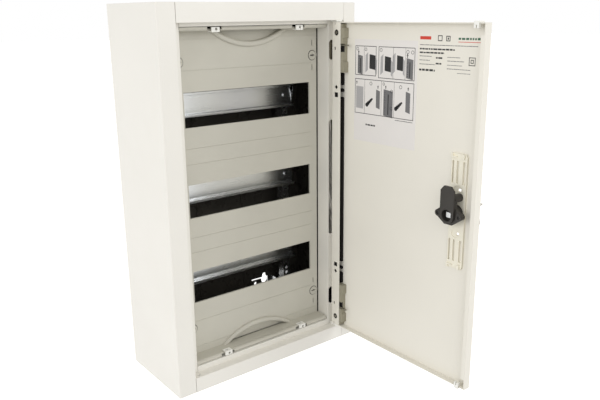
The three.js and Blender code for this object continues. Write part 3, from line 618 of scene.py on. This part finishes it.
def type_marks(bm):
    """Square signs without meaning, where the real plate has its marks."""
    for square in SQUARES:
        printed_frame(bm, *square, on_door)
    slab(bm, rectangle(*SQUARE_DOT), on_door, 0.0, PRINT_LIFT)


def printed_bars(name, rows, place, seed, material):
    printed(name, lambda bm: bars(bm, rows, place, seed), material)


def printed_strip(name, edges, material):
    printed(name, lambda bm: slab(bm, rectangle(*edges), on_door, 0.0, PRINT_LIFT), material)


def print_door():
    printed("label_frames", picture_frames, DARK_INK)
    printed("label_pale_shapes", pale_shapes, PALE_INK)
    printed("label_grey_shapes", grey_shapes, GREY_INK)
    printed("label_dark_shapes", dark_shapes, DARK_INK)
    printed("label_line_shapes", line_shapes, DARK_INK)
    printed_bars("label_bars", LABEL_BARS, on_label, 1, DARK_INK)
    printed_bars("type_fine_bars", FINE_BARS, on_door, 2, GREY_INK)
    printed_bars("type_bold_bars", BOLD_BARS, on_door, 3, DARK_INK)
    printed("type_marks", type_marks, DARK_INK)
    printed_strip("type_red_bar", RED_BAR, RED_INK)
    printed_bars("type_green_bars", GREEN_BARS, on_door, 7, GREEN_INK)
    printed_strip("type_red_line", RED_LINE, RED_INK)


# ---------------------------------------------------------------- small pieces on the door
DIMPLE_COLUMN = 252.5
DIMPLE_LEVELS = (164.0, 126.5, -131.5, -169.0)
# Radius and height of each step of a dimple.
DIMPLE_STEPS = ((2.5, 0.02), (2.3, 0.12), (1.7, 0.3), (0.9, 0.38), (0.2, 0.4))


def dimple(bm, level):
    """A low round boss left by a welded stud behind the sheet."""
    rings = []
    for radius, height in DIMPLE_STEPS:
        outline = ring_outline(DIMPLE_COLUMN, level, radius, 20)
        rings.append([on_door(u, v, height) for u, v in outline])
    skin_rings(bm, rings)


def add_dimples():
    for count, level in enumerate(DIMPLE_LEVELS, 1):
        name = f"door_dimple_{count}"
        mesh = mesh_from(name, lambda bm: dimple(bm, level))
        finish_piece(name, mesh, LOOKS["door_paint"], "door")


# How the black bead of painted shadow swells from its ends: the distance in, and the share of its full
# section.
SHADOW_BEAD_ENDS = ((0.0, 0.55), (0.35, 0.86), (0.9, 0.97), (1.6, 1.0))
SHADOW_BEAD_SIDES = 12
SHADOW_BEAD_ROUNDNESS = 0.45
# Where the runs of the bead stop on each side of the door's middle.
SHADOW_BEAD_CUTS = (128.2, 135.8, 140.7, 145.7)


def shadow_bead_run(bm, v0, v1):
    """One run of the black bead of painted shadow, with round shoulders and ends cut nearly square."""
    low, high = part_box("door_gasket")
    middle = (low.y + high.y) / 2
    half = (high.y - low.y) / 2
    height = high.x - low.x
    levels = [(v0 + inset, full) for inset, full in SHADOW_BEAD_ENDS]
    levels += [(v1 - inset, full) for inset, full in reversed(SHADOW_BEAD_ENDS)]
    rings = []
    for v, full in levels:
        ring = []
        for k in range(SHADOW_BEAD_SIDES + 1):
            angle = math.pi * k / SHADOW_BEAD_SIDES
            rise = height * full * max(0.0, math.sin(angle)) ** SHADOW_BEAD_ROUNDNESS
            ring.append(Vector((high.x - rise, middle + half * full * math.cos(angle), v * MM)))
        rings.append(ring)
    skin_rings(bm, rings)


def add_shadow_bead():
    """A black bead in the channel under the lip is painted shadow of the lip, laid in runs that stop at the
    punched holes of the lip.
    """
    upper = (*SHADOW_BEAD_CUTS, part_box("door_gasket")[1].z / MM)
    stops = (*(-stop for stop in reversed(upper)), *upper)
    for i in range(0, len(stops), 2):
        name = f"lip_shadow_bead_run_{i // 2 + 1}"
        mesh = mesh_from(name, lambda bm: shadow_bead_run(bm, stops[i], stops[i + 1]))
        finish_piece(name, mesh, LOOKS["foam_seal"], "door")
    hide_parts("door_gasket")


SPRING_WIRE = 0.28 * MM
SPRING_TURNS = 9
STEPS_IN_TURN = 14
WIRE_SIDES = 6


def spring(name, node):
    """A compression spring in the bore of the hinge block; it keeps its length, though the real one shortens
    as its pin is drawn.
    """
    low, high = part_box(node)
    centre = (low + high) / 2
    full = high.z - low.z
    radius = (high.x - low.x) / 2 - SPRING_WIRE
    length = full - 2 * SPRING_WIRE
    steps = SPRING_TURNS * STEPS_IN_TURN
    section = ring_outline(0.0, 0.0, SPRING_WIRE, WIRE_SIDES)
    rings = []
    for i in range(steps + 1):
        angle = 2 * math.pi * SPRING_TURNS * i / steps
        outward = Vector((math.cos(angle), math.sin(angle), 0.0))
        at = centre + outward * radius + Vector((0, 0, -length / 2 + length * i / steps))
        rings.append([at + outward * out + Vector((0, 0, rise)) for out, rise in section])
    mesh = mesh_from(name, lambda bm: skin_rings(bm, rings))
    piece = finish_piece(name, mesh, PIN_METAL, "door")
    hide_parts(node)
    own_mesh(piece)


def add_springs():
    for end, up in EACH_END:
        spring("pin_coil_" + end, "pin_spring_" + end)


def plate(name, corner, size, material, body):
    """A thin plate with slightly rounded edges: its lowest corner and its size in millimetres."""
    low = Vector(corner) * MM
    high = low + Vector(size) * MM
    outline = rectangle(low.y, high.y, low.z, high.z)
    mesh = mesh_from(name, lambda bm: slab(bm, outline, along_x, low.x, high.x))
    round_edges(finish_piece(name, mesh, material, body), 0.15)


def add_hole_shades():
    """Black strips behind the lip's holes and in the windows of the hinge blocks: painted shade that darkens
    those holes.
    """
    lip = door_low.x / MM
    hinge = door_high.y / MM
    inside = door_inside / MM
    # Name, place across the door, distance of the far side from the hinge edge, mid-height, size,
    # finish and slot.
    shade_plates = (
        ("lip_strip_", lip + 1.6, 15.2, 137.5, (0.6, 13.6, 23.0), LOOKS["foam_seal"], "foam_seal"),
        ("block_pocket_", inside - 5.7, 21.0, 199.2, (0.25, 5.8, 11.2), PAINTED_SHADE_BLACK, "hinge_plastic"),
        ("block_window_", inside - 1.4, 15.6, 199.5, (0.8, 12.8, 15.6), PAINTED_SHADE_BLACK, "hinge_plastic"),
    )
    for end, up in EACH_END:
        for name, x, far_side, middle, size, material, slot in shade_plates:
            corner = (x, hinge - far_side, up * middle - size[2] / 2)
            plate(name + end, corner, size, material, "door")


def disc(name, centre, radius, start, end, material):
    """A round plate on the door whose axis points across it: centre is (y, z), all in metres."""
    outline = ring_outline(*centre, radius, 28)
    mesh = mesh_from(name, lambda bm: slab(bm, outline, along_x, start, end))
    return round_edges(finish_piece(name, mesh, material, "door"), 0.18)


# The black disc in each hinge screw's hole stands for the shade inside the hole: painted shade.
HOLE_SHADE_RADIUS = 4.1 * MM
HOLE_SHADE_SUNK = 0.9 * MM
HOLE_SHADE_THICKNESS = 0.6 * MM
SCREW_END_RADIUS = 1.8 * MM


def add_hinge_screws():
    """A black disc sunk in the lip's hole, painted shade of the hole, with the bright round end of the screw
    in its middle.
    """
    for end, _ in EACH_END:
        node = "hinge_screw_" + end
        low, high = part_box(node)
        centre = ((low.y + high.y) / 2, (low.z + high.z) / 2)
        front = low.x + HOLE_SHADE_SUNK
        back = front + HOLE_SHADE_THICKNESS
        hole_shade = disc(node + "_hole_shade", centre, HOLE_SHADE_RADIUS, front, back, PAINTED_SHADE_BLACK)
        disc(node + "_end", centre, SCREW_END_RADIUS, low.x, high.x, PIN_METAL)
        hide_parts(node)


# ---------------------------------------------------------------- painted shade in the grooves round the cover screws
# The radii are in metres, and every other distance here in millimetres.
HEAD_PROUD = 0.8
GAP_INNER = 6.75 * MM
GAP_OUTER = 7.45 * MM
GAP_FRONT = -0.05
GAP_BACK = 0.5
GAP_SIDES = 40
# Each plate is so much across, deep and high, and its front stands so far back.
SLOT_SIZE = (7.8, 0.3, 1.6)
SLOT_DEPTH = 1.5
MARK_SIZE = (1.2, 0.4, 7.2)
MARK_DEPTH = 0.9
MARK_OFFSET = 18.0


def gap_ring(bm, centre, front, back):
    """A thin ring in an upright plane: centre is (x, z)."""
    rings = []
    for radius, y in ((GAP_INNER, front), (GAP_OUTER, front), (GAP_OUTER, back), (GAP_INNER, back)):
        rings.append([(x, y, z) for x, z in ring_outline(*centre, radius, GAP_SIDES)])
    skin_rings(bm, rings, closed=True)


def screw_shadows(node):
    """Painted shade: a dark ring in the gap round a quarter-turn screw, and dark plates on the floors of its
    slot and of the two marks.
    """
    low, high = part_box(node)
    centre = ((low.x + high.x) / 2, (low.z + high.z) / 2)
    across, level = centre[0] / MM, centre[1] / MM
    head_front = low.y / MM
    cover_front = head_front + HEAD_PROUD
    front, back = (cover_front + GAP_FRONT) * MM, (cover_front + GAP_BACK) * MM
    name = node + "_gap"
    mesh = mesh_from(name, lambda bm: gap_ring(bm, centre, front, back))
    finish_piece(name, mesh, PAINTED_SHADE_BLACK, "housing")

    def floor_plate(ending, depth, middle, size, body):
        corner = (across - size[0] / 2, depth, middle - size[2] / 2)
        plate(node + ending, corner, size, PAINTED_SHADE_BLACK, body)

    floor_plate("_slot", head_front + SLOT_DEPTH, level, SLOT_SIZE, node + "_body")
    for ending, up in (("_mark_lower", -1), ("_mark_upper", 1)):
        floor_plate(ending, cover_front + MARK_DEPTH, level + up * MARK_OFFSET, MARK_SIZE, "housing")


def add_screw_shadows():
    for level in ("top", "bottom"):
        for side in ("left", "right"):
            screw_shadows(f"turn_screw_{level}_{side}")


# ---------------------------------------------------------------- inner wall behind the notches
# Bottom and top of each notch, then the wall's place and size, in millimetres.
NOTCHES = ((181.5, 209.5), (-87.5, 92.5), (-205.5, -177.5))
NOTCH_WALL_INSET = 1.5
NOTCH_WALL_Y = -121.5
NOTCH_WALL_WIDTH = 8.6
NOTCH_WALL_THICKNESS = 0.8
NOTCH_OVERLAP = 1.0


def add_notch_wall():
    """A folded wall stands a little way behind the notches of the right flange; its dark tone is painted
    shade.
    """
    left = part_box("door_frame_right")[0].x / MM + NOTCH_WALL_INSET
    for count, (z0, z1) in enumerate(NOTCHES, 1):
        corner = (left, NOTCH_WALL_Y, z0 - NOTCH_OVERLAP)
        size = (NOTCH_WALL_WIDTH, NOTCH_WALL_THICKNESS, z1 - z0 + 2 * NOTCH_OVERLAP)
        plate(f"notch_wall_{count}", corner, size, SHADED_WALL, "housing")


# ---------------------------------------------------------------- wing knob
KNOB_TOP = 9.0 * MM  # above the lock axis
KNOB_SIDES = 48
COLLAR_RADIUS = 13.4 * MM
NECK_RADIUS = 7.4 * MM
# The turned part: how far along the knob from its face, and the radius.
KNOB_TURNED = (
    (0.0, COLLAR_RADIUS * 0.96), (0.01, COLLAR_RADIUS), (0.09, COLLAR_RADIUS), (0.13, COLLAR_RADIUS * 0.93),
    (0.15, COLLAR_RADIUS * 0.8), (0.17, NECK_RADIUS * 1.15), (0.2, NECK_RADIUS), (0.45, NECK_RADIUS),
)
# The wing: how far along, the share of its full outline, and how round it still is.
KNOB_WING = (
    (0.55, 0.5, 0.55), (0.64, 0.8, 0.2), (0.7, 0.94, 0.03), (0.75, 1.0, 0.0), (0.95, 1.0, 0.0),
    (0.985, 0.97, 0.0), (1.0, 0.9, 0.0), (0.985, 0.7, 0.0), (0.965, 0.3, 0.0),
)


def add_knob():
    """A turned collar, a neck and a wing with two horns at its top, a waist and a tapering foot."""
    name = "wing_knob"
    length = knob_high.x - knob_low.x
    half_width = (knob_high.y - knob_low.y) / 2
    bottom = lock_z - knob_low.z

    def wing_point(angle, grow):
        """An outline pulled in at its waist, a little hollow along its top."""
        up = math.sin(angle)
        across = math.cos(angle)
        box = max(abs(up), abs(across)) ** 0.85
        reach = KNOB_TOP if up > 0 else bottom
        v = max(-1.0, min(1.0, up / box))
        u = max(-1.0, min(1.0, across / box))
        waist = 0.5 + 0.5 * abs(v) ** 1.6
        taper = 1.0 if v > 0 else 1.0 + 0.22 * v
        dip = 1 - 0.1 * (1 - u * u) if v > 0.8 else 1.0
        return half_width * u * waist * taper * grow, reach * v * dip * grow

    def ring(depth, grow, radius, roundness):
        """A ring across the knob, part circle and part wing."""
        x = knob_low.x + depth * length
        made = []
        for i in range(KNOB_SIDES):
            angle = 2 * math.pi * (i + 0.5) / KNOB_SIDES
            wing_u, wing_v = wing_point(angle, grow)
            u = radius * math.cos(angle) * roundness + wing_u * (1 - roundness)
            v = radius * math.sin(angle) * roundness + wing_v * (1 - roundness)
            made.append(Vector((x, lock_y + u, lock_z + v)))
        return made

    rings = [ring(depth, 1.0, radius, 1.0) for depth, radius in KNOB_TURNED]
    rings += [ring(depth, grow, NECK_RADIUS, roundness) for depth, grow, roundness in KNOB_WING]
    mesh = mesh_from(name, lambda bm: skin_rings(bm, rings))
    piece = finish_piece(name, mesh, LOOKS["handle_plastic"], "latch")
    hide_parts("lock_handle")


BOSS_OFFSET = 16.5 * MM
SCREW_SUNK = 1.2 * MM
# Radius and height of each step of a screw head, from its shank to its crown.
SCREW_STEPS = ((1.9, -3.0), (1.9, 0.2), (1.6, 0.55), (0.9, 0.75))


def boss_screw(name, offset):
    """A low round screw head, sunk in a boss of the lock; its black is painted shade of the hole in the
    boss.
    """
    front = lock_body_face + SCREW_SUNK
    rings = []
    for radius, height in SCREW_STEPS:
        outline = ring_outline(lock_y + offset, lock_z, radius * MM, 20)
        rings.append([along_x(u, v, front - height * MM) for u, v in outline])
    mesh = mesh_from(name, lambda bm: skin_rings(bm, rings))
    piece = finish_piece(name, mesh, PAINTED_SHADE_BLACK, "door")
    piece.modifiers.new("edge", "WEIGHTED_NORMAL")


def add_boss_screws():
    boss_screw("lock_screw_near", -BOSS_OFFSET)
    boss_screw("lock_screw_far", BOSS_OFFSET)


# ---------------------------------------------------------------- stage, light and camera
FLOOR_REACH = 14.0
FLOOR_GAP = 0.5 * MM


def add_floor():
    """A large pale floor, just under the housing."""
    mesh = bpy.data.meshes.new("floor")
    level = housing_bottom - FLOOR_GAP
    corners = [(x, y, level) for x, y in rectangle(-FLOOR_REACH, FLOOR_REACH, -FLOOR_REACH, FLOOR_REACH)]
    mesh.from_pydata(corners, [], [(0, 1, 2, 3)])
    finish = Finish("floor", 0.9, specular=0.2)
    finish.colour(srgb(245, 245, 244), 0.004, 0.4)
    finish.shader.inputs["Emission Color"].default_value = grey(1.0)
    finish.shader.inputs["Emission Strength"].default_value = 0.5
    mesh.materials.append(finish.material)
    floor = bpy.data.objects.new("floor", mesh)
    bpy.context.scene.collection.objects.link(floor)
    floor.visible_diffuse = False


# How bright the tent is below and above the horizon.
TENT_BELOW = 0.74
TENT_ABOVE = 0.8
# Each lamp: name, place, what it points at, width and height, and power in watts.
LAMPS = (
    ("side", (-4.0, -0.24, 0.8), (0.13, -0.25, 0.0), (0.8, 2.6), 48.0),
    ("key_left", (-0.8, -2.2, 0.9), (0.0, -0.15, 0.0), (1.2, 1.2), 8.0),
    ("key_right", (1.1, -2.0, 0.7), (0.0, -0.15, 0.0), (0.8, 0.8), 9.0),
)


def area_light(name, place, target, size, power):
    """A rectangular lamp that points at its target."""
    light = bpy.data.lights.new(name, "AREA")
    light.shape = "RECTANGLE"
    light.size, light.size_y = size
    light.energy = power
    lamp = bpy.data.objects.new(name, light)
    bpy.context.scene.collection.objects.link(lamp)
    lamp.location = place
    aim = (Vector(target) - Vector(place)).to_track_quat("-Z", "Y")
    lamp.rotation_euler = aim.to_euler()


def light_scene():
    """A white tent: it looks white all round, and its light comes mostly from above and from the left."""
    world = bpy.data.worlds.new("studio")
    bpy.context.scene.world = world
    world.use_nodes = True
    tree = world.node_tree
    seen = tree.nodes["Background"]
    seen.inputs["Color"].default_value = grey(1.0)
    light = tree.nodes.new("ShaderNodeBackground")
    light.inputs["Color"].default_value = grey(1.0)
    direction = tree.nodes.new("ShaderNodeSeparateXYZ")
    tree.links.new(tree.nodes.new("ShaderNodeTexCoord").outputs["Generated"], direction.inputs[0])
    rise = tree.nodes.new("ShaderNodeMapRange")
    rise.inputs["From Min"].default_value = -0.3
    rise.inputs["From Max"].default_value = 0.2
    rise.inputs["To Min"].default_value = TENT_BELOW
    rise.inputs["To Max"].default_value = TENT_ABOVE
    tree.links.new(direction.outputs["Z"], rise.inputs["Value"])
    tree.links.new(rise.outputs["Result"], light.inputs["Strength"])
    path = tree.nodes.new("ShaderNodeLightPath")
    mix = tree.nodes.new("ShaderNodeMixShader")
    tree.links.new(path.outputs["Is Camera Ray"], mix.inputs[0])
    tree.links.new(light.outputs[0], mix.inputs[1])
    tree.links.new(seen.outputs[0], mix.inputs[2])
    tree.links.new(mix.outputs[0], tree.nodes["World Output"].inputs["Surface"])
    for name, place, target, size, power in LAMPS:
        area_light(name, place, target, size, power)
    bpy.context.scene.view_settings.view_transform = "Standard"


# The camera's place in metres, its turns in radians and its lens in millimetres.
VIEW_PLACE = (-0.5371, -0.88725, 0.24604)
VIEW_YAW = 0.66936
VIEW_PITCH = -0.26877
VIEW_ROLL = -0.01022
VIEW_LENS = 40.45


def add_camera():
    camera = bpy.data.objects.new("camera", bpy.data.cameras.new("camera"))
    bpy.context.scene.collection.objects.link(camera)
    camera.data.lens = VIEW_LENS
    camera.data.sensor_width = 36.0
    camera.data.clip_start = 0.02
    turn = Matrix.Rotation(-VIEW_YAW, 4, "Z")
    tilt = Matrix.Rotation(math.pi / 2 + VIEW_PITCH, 4, "X")
    roll = Matrix.Rotation(VIEW_ROLL, 4, "Z")
    camera.matrix_world = Matrix.Translation(VIEW_PLACE) @ turn @ tilt @ roll
    bpy.context.scene.camera = camera


paint_nodes()
soften_nodes()
print_door()
add_dimples()
add_shadow_bead()
add_springs()
add_knob()
add_boss_screws()
add_hole_shades()
add_hinge_screws()
add_notch_wall()
add_screw_shadows()
add_floor()
light_scene()
add_camera()
